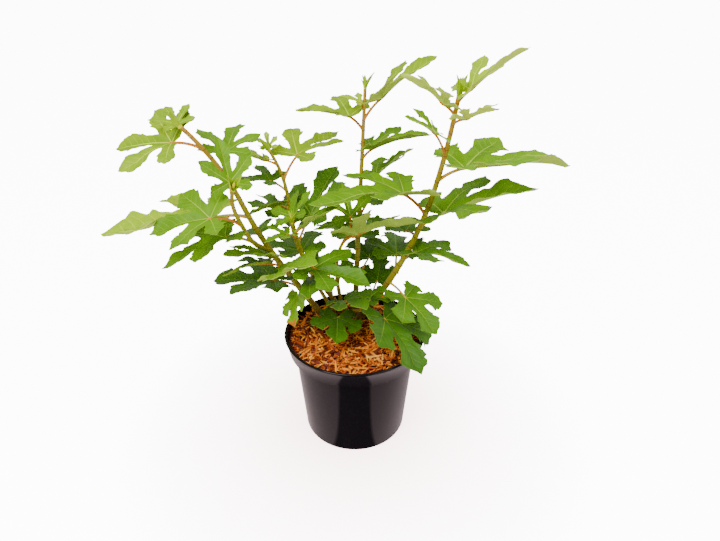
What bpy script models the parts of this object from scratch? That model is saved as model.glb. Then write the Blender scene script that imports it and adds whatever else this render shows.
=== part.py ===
# A young fig bush in a round nursery pot: the pot, its potting mix, seven bare stems, the leafy tops that
# grow on from them, and the single leaves on the lower stems. Metres and degrees, +Z up. The origin is the
# middle of the pot's flat underside, and the front of the plant is seen looking along +Y.

import math
import random

import bmesh
import bpy
from mathutils import Vector
from mathutils.geometry import delaunay_2d_cdt

# Pot: a 19 cm, 3 litre nursery pot
POT_HEIGHT = 0.153
RIM_DIAMETER = 0.190
COLLAR_HEIGHT = 0.023
COLLAR_FOOT_DIAMETER = 0.179
BODY_TOP_DIAMETER = 0.163
BASE_DIAMETER = 0.142
WALL = 0.0016
FOOT_BEVEL = 0.002
COLLAR_STEP = 0.004
COLLAR_BEVEL = 0.001
RIM_BEAD = 0.0015
POT_SIDES = 40
FLOOR = 0.0025
DRAIN_HOLES = 8
DRAIN_DIAMETER = 0.009
DRAIN_SIDES = 10
DRAIN_CIRCLE_DIAMETER = 0.110

# Potting mix, filled to just below the rim
MULCH_TOP = 0.1452
MULCH_EDGE_DROP = 0.003
MULCH_EDGE_WIDTH = 0.008
CLEARANCE = 0.0003

# Stems
STEM_SIDES = 8
STEM_STEP = 0.018
FLARE = 0.45
FLARE_LENGTH = 0.008
BUD_LENGTH = 0.016
BUD_SHOULDER = 0.35
BUD_SWELL = 1.25
FORK_AT = 0.44
AXIS_STEPS = 80
DIRECTION_SPAN = 0.02
FORK_ANGLE_AT = 0.04

# Leaves: five lobes, each (angle, length, half width) as a share of the blade's length
LOBES = (
    (-108, 0.50, 0.105),
    (-50, 0.80, 0.125),
    (0, 1.00, 0.140),
    (50, 0.80, 0.125),
    (108, 0.50, 0.105),
)
HEEL_ANGLE = 158
HEEL_REACH = 0.15
LOW_HEIGHT, HIGH_HEIGHT = 0.15, 0.27
YOUTH_AT_FOOT = 0.4
DEPTH_LOW, DEPTH_TOP = 0.60, 0.24
SLIM_LOW, SLIM_TOP = 1.75, 0.95
FOLD_LOW, FOLD_TOP = 9, 25
FOLD_SPREAD = 0.8
DROOP = 0.12
LOBE_SWELL = 1.25
LOBE_TAPER = 4
LOBE_PEAK = 0.5
EDGE_STEPS = (0, 0.36, 0.70)
SHORT_EDGE_STEPS = (0, 0.60)
SHORT_LOBE = 0.6
RIB_POINT = 0.55
BLADE_THICKNESS = 0.014
STALK_SIDES = 3
STALK_STEPS = 4
STALK_ARCH = 0.08
STALK_SINK = 0.08
STALK_RADIUS = 0.0009
STALK_RADIUS_BY_BLADE = 0.006
STALK_END = 0.5


def place(at, turn, lift, stalk, rise, blade, roll=0, swing=0):
    """One leaf. at: its place, as a share of the shoot's length. turn: the compass angle of its stalk,
    0 along +X and 90 along +Y. lift, stalk: the slope and length of the stalk. rise, blade: the slope and
    length of the blade. roll: the blade's tilt about its own axis. swing: how far the blade turns on."""
    return dict(at=at, turn=turn, lift=lift, stalk=stalk, rise=rise, blade=blade, roll=roll, swing=swing)


# Shoots. foot: where it leaves the soil. heading and lean are read at even steps along the length.
# bare: the share of the length that is bare stem, below the leafy top.
SHOOTS = {
    "right": dict(
        foot=(0.0075, 0.0425), heading=(-15, -20, -40, -60), lean=(35, 25, 15, 10), length=0.345,
        bare=0.44, foot_diameter=0.0095, tip_diameter=0.0050,
        leaves=[
            place(0.06, 70, 30, 0.045, 20, 0.050, roll=-10, swing=10),
            place(0.22, -50, -15, 0.035, -15, 0.065, roll=-5),
            place(0.28, 85, 10, 0.035, 5, 0.070),
            place(0.37, -20, 20, 0.015, 5, 0.070, roll=-5),
            place(0.50, -5, 35, 0.035, 25, 0.115, roll=-4),
            place(0.46, 110, -15, 0.035, 0, 0.070, roll=10),
            place(0.56, 190, 45, 0.040, 10, 0.115, roll=5, swing=10),
            place(0.70, 5, 25, 0.035, 5, 0.128, roll=-5),
            place(0.80, -130, 50, 0.040, 35, 0.045, roll=-20, swing=-15),
            place(0.91, -45, 25, 0.020, 30, 0.045, roll=-5),
            place(0.94, -165, 40, 0.020, 45, 0.060),
            place(0.98, 0, 45, 0.020, 45, 0.070),
        ],
    ),
    "upright": dict(
        foot=(0.0000, 0.0575), heading=(60, 60, 60, 60), lean=(5, 5, 5, 5), length=0.310,
        bare=0.58, foot_diameter=0.0080, tip_diameter=0.0042,
        leaves=[
            place(0.14, 60, 35, 0.045, 15, 0.060, swing=20),
            place(0.28, 95, 25, 0.035, 5, 0.075),
            place(0.46, 60, 30, 0.030, 10, 0.060),
            place(0.64, 35, -5, 0.025, 30, 0.065, roll=-20),
            place(0.72, -5, 45, 0.020, 25, 0.075, roll=-5),
            place(0.84, 150, 35, 0.025, 5, 0.080, swing=5),
            place(0.88, 0, 50, 0.035, 45, 0.080, roll=-5, swing=-5),
            place(0.92, 145, 50, 0.010, 20, 0.030),
        ],
    ),
    "middle": dict(
        foot=(-0.0125, 0.0375), heading=(-150, -140, -55, -5), lean=(15, 10, 10, 40), length=0.155,
        bare=0.80, foot_diameter=0.0060, tip_diameter=0.0036,
        leaves=[
            place(0.52, -60, 35, 0.025, 5, 0.040, roll=-10),
            place(0.40, 70, 45, 0.015, 5, 0.040),
            place(0.88, -25, 35, 0.025, 30, 0.090, roll=-25, swing=10),
            place(0.95, 140, 40, 0.012, -5, 0.045),
            place(1.00, 95, 45, 0.020, 40, 0.055, swing=10),
        ],
    ),
    "centre": dict(
        foot=(-0.0225, 0.0325), heading=(-150, -145, -130, -125), lean=(25, 25, 20, 15), length=0.185,
        bare=0.66, foot_diameter=0.0060, tip_diameter=0.0036,
        leaves=[
            place(0.52, -90, 20, 0.025, 15, 0.055),
            place(0.72, -60, -10, 0.030, -4, 0.074, roll=8, swing=45),
            place(0.92, 0, 35, 0.015, 40, 0.050, roll=-10),
            place(0.88, -140, 30, 0.015, 10, 0.035),
            place(0.97, 95, 25, 0.015, 25, 0.050, roll=-30),
        ],
    ),
    "back": dict(
        foot=(-0.0150, 0.0500), heading=(170, 165, 125, 160), lean=(35, 35, 5, 35), length=0.255,
        bare=0.44, foot_diameter=0.0075, tip_diameter=0.0040,
        leaves=[
            place(0.12, 100, 30, 0.040, -10, 0.060),
            place(0.32, 120, 25, 0.035, 5, 0.075),
            place(0.48, 65, 35, 0.050, 40, 0.090, roll=-20),
            place(0.58, 125, 30, 0.030, 10, 0.065),
            place(0.68, -150, 30, 0.018, 5, 0.045, roll=20),
            place(0.78, 170, 30, 0.025, 10, 0.060),
            place(0.84, 55, 40, 0.040, 20, 0.085),
            place(0.92, 195, 25, 0.020, 25, 0.045, roll=10),
            place(1.00, 105, 20, 0.010, 45, 0.025, roll=-5),
        ],
    ),
    "left": dict(
        foot=(-0.0375, 0.0275), heading=(-165, -160, -145, -155), lean=(30, 30, 20, 40), length=0.335,
        bare=0.58, foot_diameter=0.0095, tip_diameter=0.0046,
        leaves=[
            place(0.12, -135, 45, 0.035, -30, 0.045, roll=45, swing=35),
            place(0.22, 175, 15, 0.035, 0, 0.085, roll=5),
            place(0.30, -95, 30, 0.050, 35, 0.065, swing=60),
            place(0.34, 200, 20, 0.030, 5, 0.050, roll=20),
            place(0.38, 220, 35, 0.020, 25, 0.060, roll=10),
            place(0.44, 130, 20, 0.030, -12, 0.060),
            place(0.60, 180, -5, 0.055, 0, 0.130, roll=10),
            place(0.72, 110, 45, 0.050, 20, 0.065, roll=5, swing=-20),
            place(0.90, 175, 10, 0.035, -5, 0.080, roll=-30, swing=-10),
            place(0.98, 130, 10, 0.020, 25, 0.040, roll=-15),
        ],
    ),
    "fork": dict(
        foot=None, heading=(-135, -105, -95, -60), lean=(60, 35, 35, 40), length=0.150,
        bare=0.28, foot_diameter=0.0062, tip_diameter=0.0040,
        leaves=[
            place(0.22, 200, 20, 0.035, -10, 0.080, roll=5),
            place(0.50, -122, 30, 0.052, -5, 0.070, roll=-22, swing=-56),
            place(0.80, 105, 55, 0.025, 70, 0.050, swing=15),
        ],
    ),
    "low": dict(
        foot=(-0.0050, 0.0250), heading=(-90, -80, -70, -60), lean=(5, 10, 15, 20), length=0.040,
        bare=0.0, foot_diameter=0.0060, tip_diameter=0.0034,
        leaves=[
            place(0.40, -130, 20, 0.030, 5, 0.055, roll=-5, swing=40),
            place(0.60, -45, 15, 0.064, -20, 0.086, roll=-20, swing=-5),
            place(0.85, -20, 40, 0.030, 10, 0.035),
            place(0.92, -110, 40, 0.035, 25, 0.055, roll=5, swing=55),
        ],
    ),
}


def between(values, share):
    """The value at a share of the way along evenly spaced values."""
    reach = min(max(share, 0.0), 1.0) * (len(values) - 1)
    k = min(int(reach), len(values) - 2)
    return values[k] + (values[k + 1] - values[k]) * (reach - k)


def axis_points(name):
    """The middle line of a shoot, in AXIS_STEPS even steps."""
    shoot = SHOOTS[name]
    if shoot["foot"] is None:
        point = axis_points("left")[round(FORK_AT * AXIS_STEPS)]
    else:
        point = Vector((*shoot["foot"], MULCH_TOP + CLEARANCE))
    points = [point]
    step = shoot["length"] / AXIS_STEPS
    for i in range(AXIS_STEPS):
        share = (i + 0.5) / AXIS_STEPS
        heading = math.radians(between(shoot["heading"], share))
        lean = math.radians(between(shoot["lean"], share))
        across = step * math.sin(lean)
        course = Vector((across * math.cos(heading), across * math.sin(heading), step * math.cos(lean)))
        point = point + course
        points.append(point)
    return points


def point_at(points, share):
    reach = min(max(share, 0.0), 1.0) * AXIS_STEPS
    k = min(int(reach), AXIS_STEPS - 1)
    return points[k].lerp(points[k + 1], reach - k)


def direction_at(points, share):
    ahead, behind = point_at(points, share + DIRECTION_SPAN), point_at(points, share - DIRECTION_SPAN)
    return (ahead - behind).normalized()


def stem_radius(shoot, share):
    """The taper, with a flare just above the soil."""
    plain = (shoot["foot_diameter"] + (shoot["tip_diameter"] - shoot["foot_diameter"]) * share) / 2
    if shoot["foot"] is None:
        return plain
    return plain * (1 + FLARE * math.exp(-share * shoot["length"] / FLARE_LENGTH))


def make_material(name, colour, roughness, metallic=0.0):
    material = bpy.data.materials.new(name)
    material.use_nodes = True
    shader = material.node_tree.nodes["Principled BSDF"]
    shader.inputs["Base Color"].default_value = (*colour, 1.0)
    shader.inputs["Roughness"].default_value = roughness
    shader.inputs["Metallic"].default_value = metallic
    return material


def make_object(name, bm, material, smooth_angle=None):
    bmesh.ops.recalc_face_normals(bm, faces=bm.faces[:])
    mesh = bpy.data.meshes.new(name)
    bm.to_mesh(mesh)
    bm.free()
    if smooth_angle is not None:
        mesh.shade_smooth()
        mesh.set_sharp_from_angle(angle=math.radians(smooth_angle))
    mesh.materials.append(material)
    obj = bpy.data.objects.new(name, mesh)
    bpy.context.scene.collection.objects.link(obj)
    return obj


def revolve(bm, profile, segments):
    """Turn a closed (radius, height) profile, whose two ends lie on the axis, round +Z."""
    rings = []
    for radius, height in profile:
        if radius == 0:
            rings.append([bm.verts.new((0, 0, height))])
            continue
        angles = [2 * math.pi * i / segments for i in range(segments)]
        rings.append([bm.verts.new((radius * math.cos(a), radius * math.sin(a), height)) for a in angles])
    for lower, upper in zip(rings, rings[1:]):
        for i in range(segments):
            j = (i + 1) % segments
            below, above = len(lower), len(upper)
            corners = [lower[i % below], lower[j % below], upper[j % above], upper[i % above]]
            bm.faces.new(list(dict.fromkeys(corners)))


def skin_rings(bm, rings, cap_start=True, tip=None):
    """Faces between rings of vertices, closed by a cap at the start and a cap or a point at the end."""
    for lower, upper in zip(rings, rings[1:]):
        for i in range(len(lower)):
            j = (i + 1) % len(lower)
            bm.faces.new((lower[i], lower[j], upper[j], upper[i]))
    if cap_start:
        bm.faces.new(rings[0][::-1])
    last = rings[-1]
    if tip is None:
        bm.faces.new(last)
        return
    point = bm.verts.new(tip)
    for i in range(len(last)):
        bm.faces.new((last[i], last[(i + 1) % len(last)], point))


def ring(bm, centre, direction, radius, sides, spin=0.0):
    """A ring of vertices square to a direction."""
    side = direction.cross(Vector((0, 0, 1)))
    side = side.normalized() if side.length > 0.01 else Vector((1, 0, 0))
    other = side.cross(direction).normalized()
    angles = [spin + 2 * math.pi * i / sides for i in range(sides)]
    return [bm.verts.new(centre + (side * math.cos(a) + other * math.sin(a)) * radius) for a in angles]


def add_limb(bm, name, start, end, bud):
    """The stretch of a shoot between two shares of its length."""
    shoot = SHOOTS[name]
    points = axis_points(name)
    steps = max(2, round((end - start) * shoot["length"] / STEM_STEP))
    rings = []
    for i in range(steps + 1):
        share = start + (end - start) * i / steps
        upright = i == 0 and start == 0 and shoot["foot"] is not None
        direction = Vector((0, 0, 1)) if upright else direction_at(points, share)
        rings.append(ring(bm, point_at(points, share), direction, stem_radius(shoot, share), STEM_SIDES))
    if not bud:
        skin_rings(bm, rings)
        return
    tip_direction = direction_at(points, 1.0)
    tip = points[-1]
    shoulder = tip + tip_direction * BUD_LENGTH * BUD_SHOULDER
    rings.append(ring(bm, shoulder, tip_direction, stem_radius(shoot, 1.0) * BUD_SWELL, STEM_SIDES))
    skin_rings(bm, rings, tip=tip + tip_direction * BUD_LENGTH)


def leaf_form(at, height, seed):
    """How deep, slim and folded a leaf is. Low, old leaves are broad and shallow, high ones deep and folded."""
    rng = random.Random(seed)
    raised = min(max((height - LOW_HEIGHT) / (HIGH_HEIGHT - LOW_HEIGHT), 0.0), 1.0)
    youth = raised * (YOUTH_AT_FOOT + (1 - YOUTH_AT_FOOT) * at)
    lobes = [
        (angle + rng.uniform(-5, 5), length * rng.uniform(0.93, 1.03) if angle else 1.0, width)
        for angle, length, width in LOBES
    ]
    return dict(
        lobes=lobes,
        depth=(DEPTH_LOW + (DEPTH_TOP - DEPTH_LOW) * youth) * rng.uniform(0.9, 1.1),
        slim=(SLIM_LOW + (SLIM_TOP - SLIM_LOW) * youth) * rng.uniform(0.93, 1.07),
        fold=math.tan(math.radians(FOLD_LOW + (FOLD_TOP - FOLD_LOW) * youth)),
        droop=DROOP * rng.uniform(0.7, 1.3),
    )


def polar(angle, radius):
    return radius * math.cos(math.radians(angle)), radius * math.sin(math.radians(angle))


def half_width(u, foot, width):
    """Half the width of a lobe, u = 0 at the bays beside it and 1 at its tip."""
    return foot * (1 - u) ** 2 + width * u**LOBE_SWELL * (1 - u**LOBE_TAPER) / LOBE_PEAK


def leaf_outline(form):
    """The blade's edge, once round from the notch at the stalk, with the middle lobe along +X."""
    lobes = form["lobes"]
    bays = [polar(-HEEL_ANGLE, HEEL_REACH)]
    for (angle, length, _), (after, after_length, _) in zip(lobes, lobes[1:]):
        bays.append(polar((angle + after) / 2, form["depth"] * (length + after_length) / 2))
    bays.append(polar(HEEL_ANGLE, HEEL_REACH))
    points = [(0.0, 0.0)]
    for (angle, length, width), right_bay, left_bay in zip(lobes, bays, bays[1:]):
        along, aside = polar(angle, 1.0)
        steps = SHORT_EDGE_STEPS if length < SHORT_LOBE else EDGE_STEPS
        for bay, side, shares in ((right_bay, -1, steps), (left_bay, 1, (1, *steps[:0:-1]))):
            start = bay[0] * along + bay[1] * aside
            foot = abs(bay[1] * along - bay[0] * aside)
            for u in shares:
                s = start + (length - start) * u
                w = side * half_width(u, foot, width * form["slim"])
                points.append((s * along - w * aside, s * aside + w * along))
    points.append(bays[-1])
    return points


def blade_height(form, x, y):
    """The blade folds up on both sides of its middle rib, less and less outwards, and droops to its tips."""
    return form["fold"] * abs(y) / (1 + abs(y) / FOLD_SPREAD) - form["droop"] * x * abs(x)


def blade_frame(row):
    """The blade's own axes: along the middle rib, to the left, and up out of its face."""
    turn, rise, roll = (math.radians(a) for a in (row["turn"] + row["swing"], row["rise"], row["roll"]))
    along = Vector((math.cos(rise) * math.cos(turn), math.cos(rise) * math.sin(turn), math.sin(rise)))
    level = Vector((-math.sin(turn), math.cos(turn), 0))
    up = along.cross(level)
    left = level * math.cos(roll) + up * math.sin(roll)
    return along, left, along.cross(left)


def stalk_direction(row):
    turn, lift = math.radians(row["turn"]), math.radians(row["lift"])
    return Vector((math.cos(lift) * math.cos(turn), math.cos(lift) * math.sin(turn), math.sin(lift)))


def stalk_radius(row):
    return STALK_RADIUS + STALK_RADIUS_BY_BLADE * row["blade"]


def add_blade(bm, row, form, joint):
    """A thick blade: its outline and ribs filled with triangles, then given a top, an underside and a rim."""
    outline = leaf_outline(form)
    coords = [Vector(p) for p in outline]
    edges = [(i, (i + 1) % len(outline)) for i in range(len(outline))]
    for angle, length, _ in form["lobes"]:
        coords.append(Vector(polar(angle, RIB_POINT * length)))
    flat, _, faces, *_ = delaunay_2d_cdt(coords, edges, [], 1, 1e-6)
    along, left, up = blade_frame(row)
    size = row["blade"]
    thick = up * (BLADE_THICKNESS * size / 2)
    middle = [joint + (along * x + left * y + up * blade_height(form, x, y)) * size for x, y in flat]
    top = [bm.verts.new(p + thick) for p in middle]
    under = [bm.verts.new(p - thick) for p in middle]
    sides = {}
    for face in faces:
        bm.faces.new([top[i] for i in face])
        bm.faces.new([under[i] for i in reversed(face)])
        for a, b in zip(face, (*face[1:], face[0])):
            sides[(a, b)] = True
    for a, b in sides:
        if (b, a) not in sides:
            bm.faces.new((top[b], top[a], under[a], under[b]))


def clear_distance(limb_radius, own_radius, angle):
    """How far along its own line a limb starts, to stand CLEARANCE off the one it leaves at an angle."""
    return (limb_radius + CLEARANCE + own_radius * math.cos(angle)) / math.sin(angle)


def add_stalk(bm, row, base, joint, start):
    """A three-sided stalk, arched a little, from start metres off the stem's middle into the blade's foot."""
    direction = stalk_direction(row)
    arch = Vector((0, 0, 1)) * (STALK_ARCH * row["stalk"])
    radius = stalk_radius(row)
    begin = base + direction * start
    rings = []
    for i in range(STALK_STEPS):
        share = i / (STALK_STEPS - 1)
        centre = begin.lerp(joint, share) + arch * (4 * share * (1 - share))
        rings.append(ring(bm, centre, direction, radius, STALK_SIDES))
    along = blade_frame(row)[0]
    end = joint + along * (STALK_SINK * row["blade"])
    rings.append(ring(bm, end, along, radius * STALK_END, STALK_SIDES))
    skin_rings(bm, rings)


def grow_leaf(name, number, fused):
    """A stalk and a blade as two closed meshes. A fused leaf's stalk starts inside the stem, a single leaf's
    stalk starts just clear of it."""
    shoot = SHOOTS[name]
    row = shoot["leaves"][number]
    points = axis_points(name)
    base = point_at(points, row["at"])
    direction = stalk_direction(row)
    joint = base + direction * row["stalk"]
    start = 0.0
    if not fused:
        angle = direction.angle(direction_at(points, row["at"]))
        start = clear_distance(stem_radius(shoot, row["at"]), stalk_radius(row), angle)
    form = leaf_form(row["at"], joint.z, 100 * list(SHOOTS).index(name) + number)
    stalk, blade = bmesh.new(), bmesh.new()
    add_stalk(stalk, row, base, joint, start)
    add_blade(blade, row, form, joint)
    return [stalk, blade]


def fuse(name, first, others, material):
    """One closed body from a first mesh and all the others, by one union on a collection."""
    body = make_object(name, first, material)
    pieces = bpy.data.collections.new(name + "_pieces")
    for i, bm in enumerate(others):
        piece = make_object(f"{name}_piece_{i}", bm, material)
        bpy.context.scene.collection.objects.unlink(piece)
        pieces.objects.link(piece)
    union = body.modifiers.new("union", "BOOLEAN")
    union.operation = "UNION"
    union.operand_type = "COLLECTION"
    union.collection = pieces
    union.solver = "EXACT"
    union.use_self = False
    depsgraph = bpy.context.evaluated_depsgraph_get()
    fused = bpy.data.meshes.new_from_object(body.evaluated_get(depsgraph))
    body.modifiers.clear()
    body.data = fused
    fused.name = name
    for piece in list(pieces.objects):
        bpy.data.objects.remove(piece)
    bpy.data.collections.remove(pieces)
    return body


def pot_profile():
    """Half the pot's section, from the middle of its underside out, up, over the rim and back to its floor."""
    collar_foot = POT_HEIGHT - COLLAR_HEIGHT
    outer = [
        (BASE_DIAMETER / 2 - FOOT_BEVEL, 0),
        (BASE_DIAMETER / 2, FOOT_BEVEL),
        (BODY_TOP_DIAMETER / 2, collar_foot - COLLAR_STEP),
        (COLLAR_FOOT_DIAMETER / 2 - COLLAR_BEVEL, collar_foot - COLLAR_BEVEL),
        (COLLAR_FOOT_DIAMETER / 2, collar_foot),
        (RIM_DIAMETER / 2 - RIM_BEAD, POT_HEIGHT - 2.5 * RIM_BEAD),
        (RIM_DIAMETER / 2, POT_HEIGHT - 2 * RIM_BEAD),
        (RIM_DIAMETER / 2, POT_HEIGHT - COLLAR_BEVEL),
        (RIM_DIAMETER / 2 - COLLAR_BEVEL, POT_HEIGHT),
    ]
    return [(0, 0), *outer, *inner_profile(0.0)[::-1]]


def inner_profile(off):
    """The pot's inside, from the middle of its floor to its rim, stood off by a clearance."""
    collar_foot = POT_HEIGHT - COLLAR_HEIGHT
    return [
        (0, FLOOR + off),
        (BASE_DIAMETER / 2 - WALL - off, FLOOR + off),
        (BODY_TOP_DIAMETER / 2 - WALL - off, collar_foot - COLLAR_STEP + COLLAR_BEVEL + off),
        (COLLAR_FOOT_DIAMETER / 2 - WALL - off, collar_foot + COLLAR_BEVEL + off),
        (RIM_DIAMETER / 2 - RIM_BEAD - WALL - off, POT_HEIGHT - COLLAR_BEVEL),
        (RIM_DIAMETER / 2 - RIM_BEAD - WALL - CLEARANCE - off, POT_HEIGHT),
    ]


def build_pot():
    bm = bmesh.new()
    revolve(bm, pot_profile(), POT_SIDES)
    plastic = make_material("pot_plastic", (0.012, 0.012, 0.014), 0.38)
    pot = make_object("pot", bm, plastic, smooth_angle=35)
    cutter = bmesh.new()
    for i in range(DRAIN_HOLES):
        angle = 2 * math.pi * (i + 0.5) / DRAIN_HOLES
        centre = Vector(polar(math.degrees(angle), DRAIN_CIRCLE_DIAMETER / 2)).to_3d()
        up, radius = Vector((0, 0, 1)), DRAIN_DIAMETER / 2
        heights = (-2 * FLOOR, 3 * FLOOR)
        rings = [ring(cutter, centre + up * z, up, radius, DRAIN_SIDES) for z in heights]
        skin_rings(cutter, rings)
    holes = make_object("drain_hole_cutter", cutter, plastic)
    holes.hide_render = True
    holes.display_type = "WIRE"
    cut = pot.modifiers.new("drain_holes", "BOOLEAN")
    cut.operation = "DIFFERENCE"
    cut.solver = "EXACT"
    cut.object = holes


def build_mix():
    """Potting mix that fills the pot, its flat top edged with a shallow slope to the wall."""
    inside = [p for p in inner_profile(CLEARANCE) if p[1] < MULCH_TOP]
    foot, wall_top = inside[-1], inner_profile(CLEARANCE)[-2]
    edge = MULCH_TOP - MULCH_EDGE_DROP
    share = (edge - foot[1]) / (wall_top[1] - foot[1])
    edge_radius = foot[0] + (wall_top[0] - foot[0]) * share
    profile = [*inside, (edge_radius, edge), (edge_radius - MULCH_EDGE_WIDTH, MULCH_TOP), (0, MULCH_TOP)]
    bm = bmesh.new()
    revolve(bm, profile, POT_SIDES)
    make_object("potting_mix", bm, make_material("bark_mulch", (0.30, 0.12, 0.04), 0.85))


def build_shoot(name, bark, green):
    """A bare stem, the single leaves on it, and the leafy top that grows on from it."""
    shoot = SHOOTS[name]
    bare = shoot["bare"]
    gap = CLEARANCE / shoot["length"]
    if bare > 0:
        start = 0.0
        if shoot["foot"] is None:
            parent = SHOOTS["left"]
            course = direction_at(axis_points(name), FORK_ANGLE_AT)
            angle = course.angle(direction_at(axis_points("left"), FORK_AT))
            start = clear_distance(stem_radius(parent, FORK_AT), shoot["foot_diameter"] / 2, angle)
        bm = bmesh.new()
        add_limb(bm, name, start / shoot["length"], bare, bud=False)
        make_object("stem_" + name, bm, bark, smooth_angle=60)
    top = bmesh.new()
    add_limb(top, name, bare + gap if bare else 0.0, 1.0, bud=True)
    others = []
    for number, row in enumerate(shoot["leaves"]):
        if row["at"] >= bare:
            others += grow_leaf(name, number, fused=True)
            continue
        stalk, blade = grow_leaf(name, number, fused=False)
        fuse(f"leaf_{name}_{number + 1}", stalk, [blade], green)
    fuse("leaves_" + name, top, others, green)


def main():
    for obj in list(bpy.data.objects):
        bpy.data.objects.remove(obj)
    build_pot()
    build_mix()
    bark = make_material("bark", (0.22, 0.15, 0.05), 0.6)
    green = make_material("foliage", (0.12, 0.30, 0.03), 0.5)
    for name in SHOOTS:
        build_shoot(name, bark, green)


main()
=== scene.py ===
# A young fig bush in a black nursery pot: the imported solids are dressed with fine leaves, stalks, barked
# stems, wood chips and a moulded pot. Metres and degrees, +Z up.
import random
from math import cos, exp, hypot, pi, radians, sin, sqrt, tan

import bmesh
import bpy
import numpy as np
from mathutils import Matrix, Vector, noise
from mathutils.geometry import delaunay_2d_cdt


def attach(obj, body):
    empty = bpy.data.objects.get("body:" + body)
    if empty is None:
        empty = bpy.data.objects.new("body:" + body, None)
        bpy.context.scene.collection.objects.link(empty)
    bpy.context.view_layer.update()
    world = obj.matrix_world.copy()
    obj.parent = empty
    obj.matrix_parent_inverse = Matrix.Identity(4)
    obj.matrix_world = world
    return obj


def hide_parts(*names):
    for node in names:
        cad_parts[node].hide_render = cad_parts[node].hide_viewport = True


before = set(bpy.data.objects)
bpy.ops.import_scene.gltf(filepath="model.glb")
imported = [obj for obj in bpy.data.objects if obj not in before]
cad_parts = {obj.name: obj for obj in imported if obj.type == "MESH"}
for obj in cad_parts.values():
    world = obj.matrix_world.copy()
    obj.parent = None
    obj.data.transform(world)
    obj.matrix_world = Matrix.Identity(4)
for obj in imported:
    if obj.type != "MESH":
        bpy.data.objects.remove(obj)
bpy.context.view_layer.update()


# Mesh helpers

def newMesh():
    return dict(points=[], faces=[], finishes=[])


def addPart(mesh, points, faces, finishes):  # finishes: one slot number, or one for each face
    first = len(mesh["points"])
    mesh["points"].extend(points)
    mesh["faces"].extend([tuple(first + i for i in face) for face in faces])
    mesh["finishes"].extend([finishes] * len(faces) if isinstance(finishes, int) else finishes)


def finishMesh(name, mesh, materials, sharpAngle=50):
    data = bpy.data.meshes.new(name)
    data.from_pydata([tuple(p) for p in mesh["points"]], [], mesh["faces"])
    for material in materials:
        data.materials.append(material)
    data.polygons.foreach_set("material_index", mesh["finishes"])
    data.shade_smooth()
    data.set_sharp_from_angle(angle=radians(sharpAngle))
    data.validate()
    piece = bpy.data.objects.new(name, data)
    bpy.context.scene.collection.objects.link(piece)
    return piece


def dress(piece, slotName, *nodes):  # every piece rides on the one body of this plant
    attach(piece, "root")
    if nodes:
        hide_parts(*nodes)


def lathe(profile, sides):  # (radius, height) pairs, from axis to axis or open, turned round +Z
    points, faces, rings = [], [], []
    for radius, height in profile:
        first = len(points)
        if radius == 0:
            points.append((0.0, 0.0, height))
            rings.append([first] * sides)
            continue
        for i in range(sides):
            a = 2 * pi * i / sides
            points.append((radius * cos(a), radius * sin(a), height))
        rings.append(list(range(first, first + sides)))
    for lower, upper in zip(rings, rings[1:]):
        for i in range(sides):
            j = (i + 1) % sides
            faces.append(tuple(dict.fromkeys((lower[i], lower[j], upper[j], upper[i]))))
    return points, faces


def frames(path):  # unit directions and two sides, carried along the path without a twist
    along = [(b - a).normalized() for a, b in zip(path, path[1:])]
    along = [along[0]] + [(a + b).normalized() for a, b in zip(along, along[1:])] + [along[-1]]
    side = along[0].cross(Vector((0, 0, 1)))
    side = side.normalized() if side.length > 0.01 else Vector((1, 0, 0))
    result = []
    for direction in along:
        side = (side - direction * side.dot(direction)).normalized()
        result.append((direction, side, side.cross(direction)))
    return result


def tube(path, radii, sides):  # closed at both ends; radii: numbers, or one list a ring
    points, faces = [], []
    for centre, radius, (_, side, other) in zip(path, radii, frames(path)):
        for i in range(sides):
            a = 2 * pi * i / sides
            r = radius[i] if isinstance(radius, list) else radius
            points.append(centre + (side * cos(a) + other * sin(a)) * r)
    for k in range(len(path) - 1):
        for i in range(sides):
            j = (i + 1) % sides
            faces.append((k * sides + i, k * sides + j, (k + 1) * sides + j, (k + 1) * sides + i))
    last = (len(path) - 1) * sides
    faces += [tuple(range(sides))[::-1], tuple(range(last, last + sides))]
    return points, faces


# Shader helpers
grainDepth = 0.0006  # metres that a full bump stands for, on everything but the pot


def feed(links, socket, value):  # a link from another node, or a fixed value
    if isinstance(value, bpy.types.NodeSocket):
        links.new(value, socket)
    else:
        socket.default_value = value


def newMaterial(name, roughness, specular):
    material = bpy.data.materials.new(name)
    material.use_nodes = True
    shader = material.node_tree.nodes["Principled BSDF"]
    shader.inputs["Roughness"].default_value = roughness
    shader.inputs["Specular IOR Level"].default_value = specular
    return material, material.node_tree.nodes, material.node_tree.links, shader


def newGroup(name, inputs, outputs):
    group = bpy.data.node_groups.new(name, "ShaderNodeTree")
    for label, kind, value in inputs:
        socket = group.interface.new_socket(label, in_out="INPUT", socket_type=kind)
        socket.default_value = value
    for label, kind in outputs:
        group.interface.new_socket(label, in_out="OUTPUT", socket_type=kind)
    return group, group.nodes.new("NodeGroupInput"), group.nodes.new("NodeGroupOutput")


def objectPlace(nodes):
    return nodes.new("ShaderNodeTexCoord").outputs["Object"]


def noiseNode(nodes, links, vector, scale, detail, label):
    node = nodes.new("ShaderNodeTexNoise")
    node.label = label
    node.inputs["Detail"].default_value = detail
    links.new(vector, node.inputs["Vector"])
    feed(links, node.inputs["Scale"], scale)
    return node.outputs["Fac"]


def mixColours(nodes, links, factor, first, second):
    node = nodes.new("ShaderNodeMix")
    node.data_type = "RGBA"
    for number, value in ((0, factor), (6, first), (7, second)):  # the sockets of a colour mix
        feed(links, node.inputs[number], value)
    return node.outputs[2]


def spread(nodes, links, value, low, high, outLow=0.0, outHigh=1.0):  # a value mapped to another range
    node = nodes.new("ShaderNodeMapRange")
    for label, number in (("Value", value), ("From Min", low), ("From Max", high),
                          ("To Min", outLow), ("To Max", outHigh)):
        feed(links, node.inputs[label], number)
    return node.outputs["Result"]


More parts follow.
